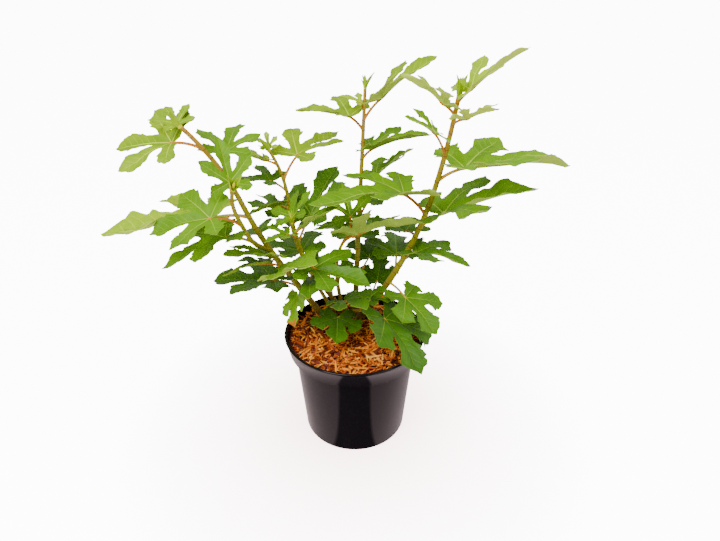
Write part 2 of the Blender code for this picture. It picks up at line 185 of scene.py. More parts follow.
def calculated(nodes, links, operation, *values):
    node = nodes.new("ShaderNodeMath")
    node.operation = operation
    for socket, value in zip(node.inputs, values):
        feed(links, socket, value)
    return node.outputs[0]


def bumped(nodes, links, shader, height, strength, depth=grainDepth):
    node = nodes.new("ShaderNodeBump")
    node.inputs["Strength"].default_value = strength
    node.inputs["Distance"].default_value = depth
    links.new(height, node.inputs["Height"])
    links.new(node.outputs["Normal"], shader.inputs["Normal"])


def makeMottle():  # soft patches and a fine grain, for leaves, stalks and buds
    group, given, made = newGroup(
        "softMottle",
        [
            ("Colour", "NodeSocketColor", (0.2, 0.4, 0.05, 1)),
            ("Patch Colour", "NodeSocketColor", (0.2, 0.4, 0.05, 1)),
            ("Patch Scale", "NodeSocketFloat", 60.0),
            ("Patch Amount", "NodeSocketFloat", 0.5),
            ("Grain Scale", "NodeSocketFloat", 900.0),
        ],
        [("Colour", "NodeSocketColor"), ("Height", "NodeSocketFloat")],
    )
    nodes, links = group.nodes, group.links
    where = objectPlace(nodes)
    patches = noiseNode(nodes, links, where, given.outputs["Patch Scale"], 3, "patches")
    patches = spread(nodes, links, patches, 0.35, 0.65, 0.0, given.outputs["Patch Amount"])
    grain = noiseNode(nodes, links, where, given.outputs["Grain Scale"], 2, "grain")
    colour = mixColours(nodes, links, patches, given.outputs["Colour"], given.outputs["Patch Colour"])
    links.new(colour, made.inputs["Colour"])
    links.new(grain, made.inputs["Height"])
    return group


def makeStreaks():  # long fibres and their shade, for bark, stems and wood chips
    group, given, made = newGroup(
        "fibreStreaks",
        [
            ("Colour", "NodeSocketColor", (0.3, 0.2, 0.05, 1)),
            ("Dark Colour", "NodeSocketColor", (0.1, 0.05, 0.01, 1)),
            ("Scale", "NodeSocketFloat", 300.0),
            ("Stretch", "NodeSocketFloat", 0.15),
            ("Amount", "NodeSocketFloat", 0.5),
        ],
        [("Colour", "NodeSocketColor"), ("Height", "NodeSocketFloat")],
    )
    nodes, links = group.nodes, group.links
    squeeze = nodes.new("ShaderNodeCombineXYZ")
    for axis in ("X", "Y"):
        squeeze.inputs[axis].default_value = 1.0
    links.new(given.outputs["Stretch"], squeeze.inputs["Z"])
    stretched = nodes.new("ShaderNodeVectorMath")
    stretched.operation = "MULTIPLY"
    links.new(objectPlace(nodes), stretched.inputs[0])
    links.new(squeeze.outputs[0], stretched.inputs[1])
    fibres = noiseNode(nodes, links, stretched.outputs[0], given.outputs["Scale"], 4, "fibres")
    shade = spread(nodes, links, fibres, 0.45, 0.70, 0.0, given.outputs["Amount"])
    colour = mixColours(nodes, links, shade, given.outputs["Colour"], given.outputs["Dark Colour"])
    links.new(colour, made.inputs["Colour"])
    links.new(fibres, made.inputs["Height"])
    return group


mottleGroup = makeMottle()
streakGroup = makeStreaks()


def placeGroup(nodes, group, **values):
    node = nodes.new("ShaderNodeGroup")
    node.node_tree = group
    for label, value in values.items():
        node.inputs[label.replace("_", " ")].default_value = value
    return node


def leafMaterial(name, colour, patch, roughness, patchAmount, bump=0.25, specular=0.06):
    material, nodes, links, shader = newMaterial(name, roughness, specular)
    mottle = placeGroup(nodes, mottleGroup, Colour=(*colour, 1), Patch_Colour=(*patch, 1),
                        Patch_Amount=patchAmount)
    links.new(mottle.outputs["Colour"], shader.inputs["Base Color"])
    bumped(nodes, links, shader, mottle.outputs["Height"], bump)
    return material


# Leaf colours, dealt out by leaf: the top, its patches, the paler underside, the ribs and the top's shine
def leafTone(top, patch, under, rib, shine=0.07):
    vein = tuple(0.5 * a + 0.5 * b for a, b in zip(top, rib))
    return dict(top=top, patch=patch, under=under, rib=rib, vein=vein, shine=shine)


leafTones = dict(
    young=leafTone((0.30, 0.44, 0.001), (0.18, 0.33, 0.001), (0.43, 0.55, 0.070), (0.58, 0.64, 0.05)),
    bright=leafTone((0.195, 0.315, 0.001), (0.115, 0.235, 0.001), (0.37, 0.48, 0.050), (0.48, 0.57, 0.04)),
    fresh=leafTone((0.135, 0.290, 0.001), (0.085, 0.215, 0.001), (0.33, 0.45, 0.045), (0.34, 0.46, 0.04)),
    satin=leafTone((0.100, 0.225, 0.002), (0.072, 0.178, 0.002), (0.26, 0.37, 0.040), (0.27, 0.38, 0.035)),
    # deep and shade: the darker greens of the bush's low and back leaves, partly older leaves and partly
    # painted shade
    deep=leafTone(
        (0.068, 0.175, 0.002), (0.048, 0.135, 0.002), (0.20, 0.30, 0.02), (0.21, 0.33, 0.025), shine=0.16),
    shade=leafTone(
        (0.042, 0.125, 0.002), (0.030, 0.092, 0.002), (0.13, 0.22, 0.02), (0.16, 0.27, 0.02), shine=0.16),
)
toneNames = list(leafTones)
leafMaterials = []
for toneName, tone in leafTones.items():  # four finishes a tone, in the order that addBlade counts on
    top = leafMaterial(toneName + "LeafTop", tone["top"], tone["patch"], 0.40, 0.8, 0.3, tone["shine"])
    under = leafMaterial(toneName + "LeafUnder", tone["under"], tone["top"], 0.62, 0.25)
    rib = leafMaterial(toneName + "LeafRib", tone["rib"], tone["under"], 0.5, 0.5, 0.1)
    vein = leafMaterial(toneName + "LeafVein", tone["vein"], tone["top"], 0.42, 0.3, 0.1)
    leafMaterials += [top, under, rib, vein]
leafMaterials.append(leafMaterial("scorchedLeaf", (0.44, 0.13, 0.010), (0.22, 0.06, 0.008), 0.6, 0.8, 0.3))
print("leaf finishes made:", len(leafMaterials))


# The plant's own rule, the same as in its source

def leafRow(at, turn, lift, stalk, rise, blade, roll=0, swing=0):
    return dict(at=at, turn=turn, lift=lift, stalk=stalk, rise=rise, blade=blade, roll=roll, swing=swing)


shoots = {
    "right": dict(
        foot=(0.0075, 0.0425), heading=(-15, -20, -40, -60), lean=(35, 25, 15, 10), length=0.345,
        footDiameter=0.0095, tipDiameter=0.0050,
        leaves=[
            leafRow(0.06, 70, 30, 0.045, 20, 0.050, roll=-10, swing=10),
            leafRow(0.22, -50, -15, 0.035, -15, 0.065, roll=-5),
            leafRow(0.28, 85, 10, 0.035, 5, 0.070),
            leafRow(0.37, -20, 20, 0.015, 5, 0.070, roll=-5),
            leafRow(0.50, -5, 35, 0.035, 25, 0.115, roll=-4),
            leafRow(0.46, 110, -15, 0.035, 0, 0.070, roll=10),
            leafRow(0.56, 190, 45, 0.040, 10, 0.115, roll=5, swing=10),
            leafRow(0.70, 5, 25, 0.035, 5, 0.128, roll=-5),
            leafRow(0.80, -130, 50, 0.040, 35, 0.045, roll=-20, swing=-15),
            leafRow(0.91, -45, 25, 0.020, 30, 0.045, roll=-5),
            leafRow(0.94, -165, 40, 0.020, 45, 0.060),
            leafRow(0.98, 0, 45, 0.020, 45, 0.070),
        ],
    ),
    "upright": dict(
        foot=(0.0000, 0.0575), heading=(60, 60, 60, 60), lean=(5, 5, 5, 5), length=0.310,
        footDiameter=0.0080, tipDiameter=0.0042,
        leaves=[
            leafRow(0.14, 60, 35, 0.045, 15, 0.060, swing=20),
            leafRow(0.28, 95, 25, 0.035, 5, 0.075),
            leafRow(0.46, 60, 30, 0.030, 10, 0.060),
            leafRow(0.64, 35, -5, 0.025, 30, 0.065, roll=-20),
            leafRow(0.72, -5, 45, 0.020, 25, 0.075, roll=-5),
            leafRow(0.84, 150, 35, 0.025, 5, 0.080, swing=5),
            leafRow(0.88, 0, 50, 0.035, 45, 0.080, roll=-5, swing=-5),
            leafRow(0.92, 145, 50, 0.010, 20, 0.030),
        ],
    ),
    "middle": dict(
        foot=(-0.0125, 0.0375), heading=(-150, -140, -55, -5), lean=(15, 10, 10, 40), length=0.155,
        footDiameter=0.0060, tipDiameter=0.0036,
        leaves=[
            leafRow(0.52, -60, 35, 0.025, 5, 0.040, roll=-10),
            leafRow(0.40, 70, 45, 0.015, 5, 0.040),
            leafRow(0.88, -25, 35, 0.025, 30, 0.090, roll=-25, swing=10),
            leafRow(0.95, 140, 40, 0.012, -5, 0.045),
            leafRow(1.00, 95, 45, 0.020, 40, 0.055, swing=10),
        ],
    ),
    "centre": dict(
        foot=(-0.0225, 0.0325), heading=(-150, -145, -130, -125), lean=(25, 25, 20, 15), length=0.185,
        footDiameter=0.0060, tipDiameter=0.0036,
        leaves=[
            leafRow(0.52, -90, 20, 0.025, 15, 0.055),
            leafRow(0.72, -60, -10, 0.030, -4, 0.074, roll=8, swing=45),
            leafRow(0.92, 0, 35, 0.015, 40, 0.050, roll=-10),
            leafRow(0.88, -140, 30, 0.015, 10, 0.035),
            leafRow(0.97, 95, 25, 0.015, 25, 0.050, roll=-30),
        ],
    ),
    "back": dict(
        foot=(-0.0150, 0.0500), heading=(170, 165, 125, 160), lean=(35, 35, 5, 35), length=0.255,
        footDiameter=0.0075, tipDiameter=0.0040,
        leaves=[
            leafRow(0.12, 100, 30, 0.040, -10, 0.060),
            leafRow(0.32, 120, 25, 0.035, 5, 0.075),
            leafRow(0.48, 65, 35, 0.050, 40, 0.090, roll=-20),
            leafRow(0.58, 125, 30, 0.030, 10, 0.065),
            leafRow(0.68, -150, 30, 0.018, 5, 0.045, roll=20),
            leafRow(0.78, 170, 30, 0.025, 10, 0.060),
            leafRow(0.84, 55, 40, 0.040, 20, 0.085),
            leafRow(0.92, 195, 25, 0.020, 25, 0.045, roll=10),
            leafRow(1.00, 105, 20, 0.010, 45, 0.025, roll=-5),
        ],
    ),
    "left": dict(
        foot=(-0.0375, 0.0275), heading=(-165, -160, -145, -155), lean=(30, 30, 20, 40), length=0.335,
        footDiameter=0.0095, tipDiameter=0.0046,
        leaves=[
            leafRow(0.12, -135, 45, 0.035, -30, 0.045, roll=45, swing=35),
            leafRow(0.22, 175, 15, 0.035, 0, 0.085, roll=5),
            leafRow(0.30, -95, 30, 0.050, 35, 0.065, swing=60),
            leafRow(0.34, 200, 20, 0.030, 5, 0.050, roll=20),
            leafRow(0.38, 220, 35, 0.020, 25, 0.060, roll=10),
            leafRow(0.44, 130, 20, 0.030, -12, 0.060),
            leafRow(0.60, 180, -5, 0.055, 0, 0.130, roll=10),
            leafRow(0.72, 110, 45, 0.050, 20, 0.065, roll=5, swing=-20),
            leafRow(0.90, 175, 10, 0.035, -5, 0.080, roll=-30, swing=-10),
            leafRow(0.98, 130, 10, 0.020, 25, 0.040, roll=-15),
        ],
    ),
    "fork": dict(
        foot=None, heading=(-135, -105, -95, -60), lean=(60, 35, 35, 40), length=0.150,
        footDiameter=0.0062, tipDiameter=0.0040,
        leaves=[
            leafRow(0.22, 200, 20, 0.035, -10, 0.080, roll=5),
            leafRow(0.50, -122, 30, 0.052, -5, 0.070, roll=-22, swing=-56),
            leafRow(0.80, 105, 55, 0.025, 70, 0.050, swing=15),
        ],
    ),
    "low": dict(
        foot=(-0.0050, 0.0250), heading=(-90, -80, -70, -60), lean=(5, 10, 15, 20), length=0.040,
        footDiameter=0.0060, tipDiameter=0.0034,
        leaves=[
            leafRow(0.40, -130, 20, 0.030, 5, 0.055, roll=-5, swing=40),
            leafRow(0.60, -45, 15, 0.064, -20, 0.086, roll=-20, swing=-5),
            leafRow(0.85, -20, 40, 0.030, 10, 0.035),
            leafRow(0.92, -110, 40, 0.035, 25, 0.055, roll=5, swing=55),
        ],
    ),
}

growth = dict(
    soilTop=0.1452, clearance=0.0003, forkAt=0.44, axisSteps=80, flare=0.45, flareLength=0.008,
    budLength=0.016,
    heelAngle=158, heelReach=0.15, depthLow=0.60, depthTop=0.24, slimLow=1.75, slimTop=0.95,
    foldLow=9, foldTop=25, foldSpread=0.8, droop=0.12, stalkArch=0.08, stalkSink=0.08,
    lowHeight=0.15, highHeight=0.27, youthAtFoot=0.4,
    stalkRadius=0.0009, stalkRadiusByBlade=0.006,
    lobes=((-108, 0.50, 0.105), (-50, 0.80, 0.125), (0, 1.00, 0.140), (50, 0.80, 0.125), (108, 0.50, 0.105)),
)


def clamped(share):
    return min(max(share, 0.0), 1.0)


def between(values, share):
    reach = clamped(share) * (len(values) - 1)
    k = min(int(reach), len(values) - 2)
    return values[k] + (values[k + 1] - values[k]) * (reach - k)


def axisPoints(name):
    shoot = shoots[name]
    if shoot["foot"] is None:
        point = axisPoints("left")[round(growth["forkAt"] * growth["axisSteps"])]
    else:
        point = Vector((*shoot["foot"], growth["soilTop"] + growth["clearance"]))
    points = [point]
    step = shoot["length"] / growth["axisSteps"]
    for i in range(growth["axisSteps"]):
        share = (i + 0.5) / growth["axisSteps"]
        heading = radians(between(shoot["heading"], share))
        lean = radians(between(shoot["lean"], share))
        across, up = step * sin(lean), step * cos(lean)
        point = point + Vector((across * cos(heading), across * sin(heading), up))
        points.append(point)
    return points


axes = {name: axisPoints(name) for name in shoots}


def pointAt(name, share):
    reach = clamped(share) * growth["axisSteps"]
    k = min(int(reach), growth["axisSteps"] - 1)
    return axes[name][k].lerp(axes[name][k + 1], reach - k)


def directionAt(name, share):
    return (pointAt(name, share + 0.02) - pointAt(name, share - 0.02)).normalized()


def stemRadius(name, share):
    shoot = shoots[name]
    plain = (shoot["footDiameter"] + (shoot["tipDiameter"] - shoot["footDiameter"]) * share) / 2
    if shoot["foot"] is None:
        return plain
    return plain * (1 + growth["flare"] * exp(-share * shoot["length"] / growth["flareLength"]))


def leafForm(at, height, seed):
    rng = random.Random(seed)
    low, high = growth["lowHeight"], growth["highHeight"]
    raised = clamped((height - low) / (high - low))
    youth = raised * (growth["youthAtFoot"] + (1 - growth["youthAtFoot"]) * at)
    lobes = [
        (angle + rng.uniform(-5, 5), length * rng.uniform(0.93, 1.03) if angle else 1.0, width)
        for angle, length, width in growth["lobes"]
    ]

    def grown(label):  # from the foot's value to the top's
        return growth[label + "Low"] + (growth[label + "Top"] - growth[label + "Low"]) * youth

    return dict(
        lobes=lobes,
        depth=grown("depth") * rng.uniform(0.9, 1.1),
        slim=grown("slim") * rng.uniform(0.93, 1.07),
        fold=tan(radians(grown("fold"))),
        droop=growth["droop"] * rng.uniform(0.7, 1.3),
        age=1 - youth, rng=random.Random(seed + 5000),
    )


def pointing(turn, rise):  # a unit direction from two angles in radians
    return Vector((cos(rise) * cos(turn), cos(rise) * sin(turn), sin(rise)))


def bladeFrame(row):
    turn, rise, roll = (radians(a) for a in (row["turn"] + row["swing"], row["rise"], row["roll"]))
    along = pointing(turn, rise)
    level = Vector((-sin(turn), cos(turn), 0))
    left = level * cos(roll) + along.cross(level) * sin(roll)
    return along, left, along.cross(left)


def stalkDirection(row):
    return pointing(radians(row["turn"]), radians(row["lift"]))


# Leaf blades: a toothed edge, ribs and side veins cut into one fine sheet, then folded and quilted.
# Measures are shares of the blade's length, apart from grain, fullSize and leastThickness in metres.
bladeLook = dict(
    grain=0.0030, leastCell=0.028, edgeClear=0.45, lineClear=0.40,
    edgeSteps=28, leastSteps=9, fullSize=0.09, thickness=0.0048, leastThickness=0.00055,
    teeth=0.052, lowTeeth=0.050, teethCount=4.2, youngCount=0.72,
    toothLean=1.25, toothStart=0.22, toothEnd=8,
    ribWidth=0.0095, ribPoints=8, ribEnd=0.95, ribTaper=0.88, ribStart=0.02, ribKeel=0.012,
    veinWidth=0.0034, veinGap=0.105, veinAngle=50, veinStart=0.24, veinEnd=0.86, veinTaper=0.75,
    veinSteps=14, veinStep=0.028, veinBend=2.5, veinClear=0.014,
    quilt=0.014, quiltReach=0.05, trough=0.16, troughReach=0.11, tipCurl=0.05, curlStart=0.45,
    wave=0.016, waveReach=0.10, waveCount=11, rippleScale=23,
    twist=0.25, hangLeast=-0.03, hangMost=0.08, freeReach=0.30,
)
lobeShape = dict(widest=0.70, tip=0.30, tipPower=1.02, belly=1.25, shoulder=4, fullness=0.5)

# Leaves that are paler than their place gives them, and brown spots (x, y, reach), by shoot and number
paleLeaves = {
    ("left", 0): "fresh", ("left", 2): "fresh", ("left", 4): "fresh",
    ("left", 6): "young", ("left", 9): "bright",
}
scorches = {
    ("left", 0): (1.0, 0.0, 0.22), ("low", 2): (0.55, 0.10, 0.07), ("right", 2): (0.7, -0.2, 0.05),
}

toneRule = dict(
    youngHeight=0.36, youngAt=0.85, youngBlade=0.072, brightHeight=0.33, brightAt=0.82,
    lowest=0.15, span=0.30, backFrom=0.03, backShade=2.5, vary=0.10,
    limits=((0.12, "shade"), (0.45, "deep"), (0.74, "satin")),
)


def leafSeed(name, number):
    return 100 * list(shoots).index(name) + number


def leafJoint(name, row):  # where the stalk meets the blade
    return pointAt(name, row["at"]) + stalkDirection(row) * row["stalk"]


def polar(angle, radius):
    return radius * cos(radians(angle)), radius * sin(radians(angle))


def lobeWidth(u, foot, width):  # widest two thirds out, then drawn to a point
    shape = lobeShape
    inner = min(u, shape["widest"])
    belly = width * inner ** shape["belly"] * (1 - inner ** shape["shoulder"]) / shape["fullness"]
    full = foot * (1 - inner) ** 2 + belly
    return full * ((1 - u) / shape["tip"]) ** shape["tipPower"] if u > shape["widest"] else full


def bladeEdge(form, steps):
    look, rng, lobes = bladeLook, form["rng"], form["lobes"]
    bays = [polar(-growth["heelAngle"], growth["heelReach"])]
    for (angle, length, _), (after, afterLength, _) in zip(lobes, lobes[1:]):
        bays.append(polar((angle + after) / 2, form["depth"] * (length + afterLength) / 2))
    bays.append(polar(growth["heelAngle"], growth["heelReach"]))
    points = [(0.0, 0.0)]
    for (angle, length, width), rightBay, leftBay in zip(lobes, bays, bays[1:]):
        along, aside = polar(angle, 1.0)
        for bay, side in ((rightBay, -1), (leftBay, 1)):
            start = bay[0] * along + bay[1] * aside
            foot = abs(bay[1] * along - bay[0] * aside)
            fewer = look["youngCount"] + (1 - look["youngCount"]) * form["age"]
            count = look["teethCount"] * fewer * rng.uniform(0.75, 1.2)
            first = rng.random()
            size = (look["teeth"] + look["lowTeeth"] * form["age"]) * rng.uniform(0.8, 1.3)
            for k in range(steps):
                u = k / steps if side < 0 else 1 - k / steps
                phase = u * count + first
                place = int(phase)
                ramp = min(1, max(0, u - look["toothStart"]) * 4)
                tooth = (phase - place) ** look["toothLean"] * ramp * (1 - u ** look["toothEnd"])
                tooth *= size * (0.55 + 0.9 * abs(noise.noise((place * 3.7, angle, side * 5.1))))
                w = lobeWidth(u, foot, width * form["slim"]) + tooth
                s = start + (length - start) * u
                points.append((s * along - side * w * aside, s * aside + side * w * along))
    points.append(bays[-1])
    return np.array(points)


def insideEdge(edge, spots):
    x, y = spots[:, 0:1], spots[:, 1:2]
    x1, y1 = edge[:, 0], edge[:, 1]
    x2, y2 = np.roll(x1, -1), np.roll(y1, -1)
    crosses = (y1 > y) != (y2 > y)
    with np.errstate(divide="ignore", invalid="ignore"):
        at = (x2 - x1) * (y - y1) / (y2 - y1) + x1
    return (crosses & (x < at)).sum(axis=1) % 2 == 1


def offLines(spots, lines):  # each spot's distance to the nearest line, and how wide that line is there
    best = np.full(len(spots), 1e9)
    width = np.zeros(len(spots))
    for path, widths in lines:
        for a, b, wa, wb in zip(path, path[1:], widths, widths[1:]):
            span = b - a
            t = np.clip(((spots - a) @ span) / max(span @ span, 1e-12), 0, 1)
            gap = np.linalg.norm(spots - a - t[:, None] * span, axis=1)
            closer = gap < best
            best = np.where(closer, gap, best)
            width = np.where(closer, wa + (wb - wa) * t, width)
    return best, width


def offEdge(spots, edge):
    a, b = edge, np.roll(edge, -1, axis=0)
    span = b - a
    reach = np.maximum((span * span).sum(axis=1), 1e-12)
    t = np.clip(((spots[:, None, :] - a[None]) * span[None]).sum(axis=2) / reach, 0, 1)
    return np.linalg.norm(spots[:, None, :] - a[None] - t[:, :, None] * span[None], axis=2).min(axis=1)


def turned(direction, degrees):
    a = radians(degrees)
    return np.array((direction[0] * cos(a) - direction[1] * sin(a),
                     direction[0] * sin(a) + direction[1] * cos(a)))


def bladeVeins(form, edge):
    look, ribs, veins = bladeLook, [], []
    count = look["ribPoints"]
    for angle, length, _ in form["lobes"]:
        heading = np.array(polar(angle, 1.0))
        path = [heading * length * t for t in np.linspace(0.0, look["ribEnd"], count)]
        full = look["ribWidth"] * (0.4 + 0.6 * length)
        ribs.append((path, [full * (1 - look["ribTaper"] * t) for t in np.linspace(0, 1, count)]))
        for side in (-1, 1):
            at = look["veinStart"] + (0.5 * look["veinGap"] if side > 0 else 0.0)
            while at < look["veinEnd"] * length:
                spot, course = heading * at, turned(heading, side * look["veinAngle"])
                path = [spot]
                for _ in range(look["veinSteps"]):
                    spot = spot + course * look["veinStep"]
                    course = turned(course, -side * look["veinBend"])
                    clear = offEdge(spot[None], edge)[0] >= look["veinClear"]
                    if not (clear and insideEdge(edge, spot[None])[0]):
                        break
                    path.append(spot)
                if len(path) > 2:
                    size = look["veinWidth"] * (0.5 + 0.5 * length)
                    taper = look["veinTaper"]
                    veins.append((path, [size * (1 - taper * k / len(path)) for k in range(len(path))]))
                at += look["veinGap"] * form["rng"].uniform(0.85, 1.15)
    return ribs, veins


def bladeGrid(edge, lines, size):  # spots in the open panels between the edge, ribs and veins
    look = bladeLook
    cell = max(look["leastCell"], look["grain"] / size)
    columns, rows = np.arange(-0.75, 1.1, cell), np.arange(-1.0, 1.0, cell * 0.866)
    grid = np.array([(x + (k % 2) * cell / 2, y) for k, y in enumerate(rows) for x in columns])
    grid = grid[insideEdge(edge, grid)]
    grid = grid[offEdge(grid, edge) > cell * look["edgeClear"]]
    return grid[offLines(grid, lines)[0] > cell * look["lineClear"]]


def bladePlan(edge, ribs, veins, size):  # the flat blade: its edge, the banks of every line, and the grid
    points = [tuple(p) for p in edge]
    bonds = [(i, (i + 1) % len(edge)) for i in range(len(edge))]
    for isRib, (path, widths) in [(True, rib) for rib in ribs] + [(False, vein) for vein in veins]:
        for bank in (-1, 0, 1) if isRib else (-1, 1):
            first = len(points)
            for k, (spot, width) in enumerate(zip(path, widths)):
                course = path[min(k + 1, len(path) - 1)] - path[max(k - 1, 0)]
                course = course / np.linalg.norm(course)
                if isRib and k == 0:  # ribs start a little off the joint, where all of them would meet
                    spot = spot + course * bladeLook["ribStart"]
                points.append(tuple(spot + np.array((-course[1], course[0])) * bank * width))
            bonds += [(first + k, first + k + 1) for k in range(len(path) - 1)]
    points += [tuple(p) for p in bladeGrid(edge, ribs + veins, size)]
    flat, _, faces, *_ = delaunay_2d_cdt([Vector(p) for p in points], bonds, [], 1, 1e-6)
    return np.array([tuple(p) for p in flat]), faces


def bladeHeights(form, flat, edge, ribs, veins):  # heights, and how far the ribs stand out below
    look, rng = bladeLook, form["rng"]
    x, y = flat[:, 0], flat[:, 1]
    ribGap, _ = offLines(flat, ribs)
    lineGap, _ = offLines(flat, ribs + veins)
    far = np.hypot(x, y)
    away = np.abs(y)
    height = form["fold"] * away / (1 + away / growth["foldSpread"]) - form["droop"] * x * np.abs(x)
    height = height + look["trough"] * np.minimum(ribGap, look["troughReach"])
    height = height - look["tipCurl"] * np.maximum(far - look["curlStart"], 0) ** 2 * 2
    rise = np.clip(lineGap / look["quiltReach"], 0, 1)
    height = height + look["quilt"] * rise * rise * (3 - 2 * rise)
    phase = rng.uniform(0, 6.28)
    ripple = np.sin(np.arctan2(y, x) * look["waveCount"] + phase)
    ripple = ripple + 0.6 * np.sin(far * look["rippleScale"] + phase * 2)
    nearEdge = np.clip(1 - offEdge(flat, edge) / look["waveReach"], 0, 1)
    height = height + look["wave"] * ripple * nearEdge * np.clip(far * 2, 0, 1)
    keel, nearest, own = np.zeros(len(flat)), np.full(len(flat), 1e9), np.zeros(len(flat))
    for (path, widths), (angle, length, _) in zip(ribs, form["lobes"]):  # each lobe's own twist and hang
        gapHere, widthHere = offLines(flat, [(path, widths)])
        keel = np.maximum(keel, np.where(gapHere < 1e-4, widthHere / look["ribWidth"], 0))
        cosine, sine = polar(angle, 1.0)
        out, aside = x * cosine + y * sine, y * cosine - x * sine
        free = np.clip((out - form["depth"] * length) / look["freeReach"], 0, 1)
        twist = rng.uniform(-1, 1) * look["twist"]
        hang = rng.uniform(look["hangLeast"], look["hangMost"])
        own = np.where(gapHere < nearest, aside * twist * free - hang * length * free * free, own)
        nearest = np.minimum(nearest, gapHere)
    return height + own, keel


def scorched(finishes, centres, spot):  # both sides turn brown within the spot's wavy edge
    dx, dy = centres[:, 0] - spot[0], centres[:, 1] - spot[1]
    burnt = np.hypot(dx, dy) < spot[2] * (1 + 0.3 * np.sin(np.arctan2(dy, dx) * 5))
    return [len(leafMaterials) - 1 if b else f for b, f in zip(np.tile(burnt, 2), finishes)]


def addBlade(mesh, name, number, tone):
    look, row = bladeLook, shoots[name]["leaves"][number]
    joint, size = leafJoint(name, row), row["blade"]
    form = leafForm(row["at"], joint.z, leafSeed(name, number))
    steps = round(look["edgeSteps"] * min(1.0, size / look["fullSize"]))
    edge = bladeEdge(form, max(look["leastSteps"], steps))
    ribs, veins = bladeVeins(form, edge)
    flat, faces = bladePlan(edge, ribs, veins, size)
    height, keel = bladeHeights(form, flat, edge, ribs, veins)

    along, left, up = (np.array(v) for v in bladeFrame(row))
    plane = np.outer(flat[:, 0], along) + np.outer(flat[:, 1], left)
    middle = np.array(joint) + size * (plane + np.outer(height, up))
    half = max(look["thickness"] * size, look["leastThickness"]) / 2
    top = middle + up * half
    under = middle - np.outer(half + size * look["ribKeel"] * keel, up)
    count = len(flat)
    sides = dict.fromkeys((a, b) for face in faces for a, b in zip(face, (*face[1:], face[0])))
    rim = [(b, a, a + count, b + count) for a, b in sides if (b, a) not in sides]
    allFaces = [tuple(f) for f in faces] + [tuple(i + count for i in reversed(f)) for f in faces] + rim

    centres = np.array([flat[list(face)].mean(axis=0) for face in faces])
    ribHere, ribWide = offLines(centres, ribs)
    veinHere, veinWide = offLines(centres, veins)
    onLine = list(zip(ribHere < ribWide * 1.02, veinHere < veinWide * 1.02))
    topSlot, underSlot, ribSlot, veinSlot = range(4 * tone, 4 * tone + 4)
    finishes = [ribSlot if rib else veinSlot if vein else topSlot for rib, vein in onLine]
    finishes += [ribSlot if rib or vein else underSlot for rib, vein in onLine]
    if (name, number) in scorches:
        finishes = scorched(finishes, centres, scorches[name, number])
    addPart(mesh, list(top) + list(under), allFaces, finishes + [underSlot] * len(rim))


def toneFor(name, number):  # tips are young and bright, the bush's foot is older and deep green, and its back is darker with painted shade
    rule, row = toneRule, shoots[name]["leaves"][number]
    joint = leafJoint(name, row)
    rng = random.Random(900 + leafSeed(name, number))
    if (name, number) in paleLeaves:
        return toneNames.index(paleLeaves[name, number])
    small = row["blade"] < rule["youngBlade"]
    if small and joint.z > rule["youngHeight"] and row["at"] > rule["youngAt"]:
        return toneNames.index("young")
    if joint.z > rule["brightHeight"] and row["at"] > rule["brightAt"]:
        return toneNames.index("bright")
    age = (joint.z - rule["lowest"]) / rule["span"]
    # leaves further back take darker tones: painted shade
    age -= max(0.0, joint.y - rule["backFrom"]) * rule["backShade"]
    age += rng.uniform(-rule["vary"], rule["vary"])
    for limit, toneName in rule["limits"]:
        if age < limit:
            return toneNames.index(toneName)
    return toneNames.index("fresh")


# Unfolding leaves: narrow folded leaflets that open round the end bud
tipLook = dict(
    count=5, least=0.011, most=0.023, width=0.16, fold=0.8, thickness=0.0005, rows=8,
    turn=2.4, leanLeast=4, leanMost=26, arch=0.18, foot=0.6,
)


def addUnfolding(mesh, name):
    look, tip, direction = tipLook, pointAt(name, 1.0), directionAt(name, 1.0)
    _, side, other = frames([tip, tip + direction])[0]
    rng = random.Random(700 + len(name))
    for k in range(look["count"]):
        turn = look["turn"] * k + rng.random()
        lean = radians(rng.uniform(look["leanLeast"], look["leanMost"]))
        outward = side * cos(turn) + other * sin(turn)
        along = direction * cos(lean) + outward * sin(lean)
        across = along.cross(outward).normalized()
        inward = along.cross(across)
        if inward.dot(outward) > 0:
            inward = -inward
        length = rng.uniform(look["least"], look["most"])
        base = tip + outward * stemRadius(name, 1.0) * look["foot"]
        points = []
        for row in range(look["rows"] + 1):
            share = row / look["rows"]
            half = look["width"] * length * sin(pi * (0.12 + 0.88 * share) ** 0.8) + 0.0002
            middle = base + along * length * share + outward * length * look["arch"] * share * share
            for drop in (0, look["thickness"]):
                for reach in (-half, 0, half):
                    points.append(middle + across * reach + inward * (abs(reach) * look["fold"] - drop))
        faces, ring = [], (0, 1, 2, 5, 4, 3)
        for row in range(look["rows"]):
            for a, b in zip(ring, ring[1:] + ring[:1]):
                faces.append((6 * row + a, 6 * row + b, 6 * row + 6 + b, 6 * row + 6 + a))
        last = 6 * look["rows"]
        faces += [(0, 3, 4, 1), (1, 4, 5, 2)]
        faces += [(last, last + 1, last + 4, last + 3), (last + 1, last + 2, last + 5, last + 4)]
        addPart(mesh, points, faces, 0)


for name in shoots:
    mesh = newMesh()
    for number in range(len(shoots[name]["leaves"])):
        addBlade(mesh, name, number, toneFor(name, number))
    addUnfolding(mesh, name)
    piece = finishMesh("blades_" + name, mesh, leafMaterials)
    single = [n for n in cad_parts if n.startswith(f"leaf_{name}_")]
    dress(piece, "foliage", "leaves_" + name, *single)
    print("blades on", name, len(mesh["faces"]), "faces")


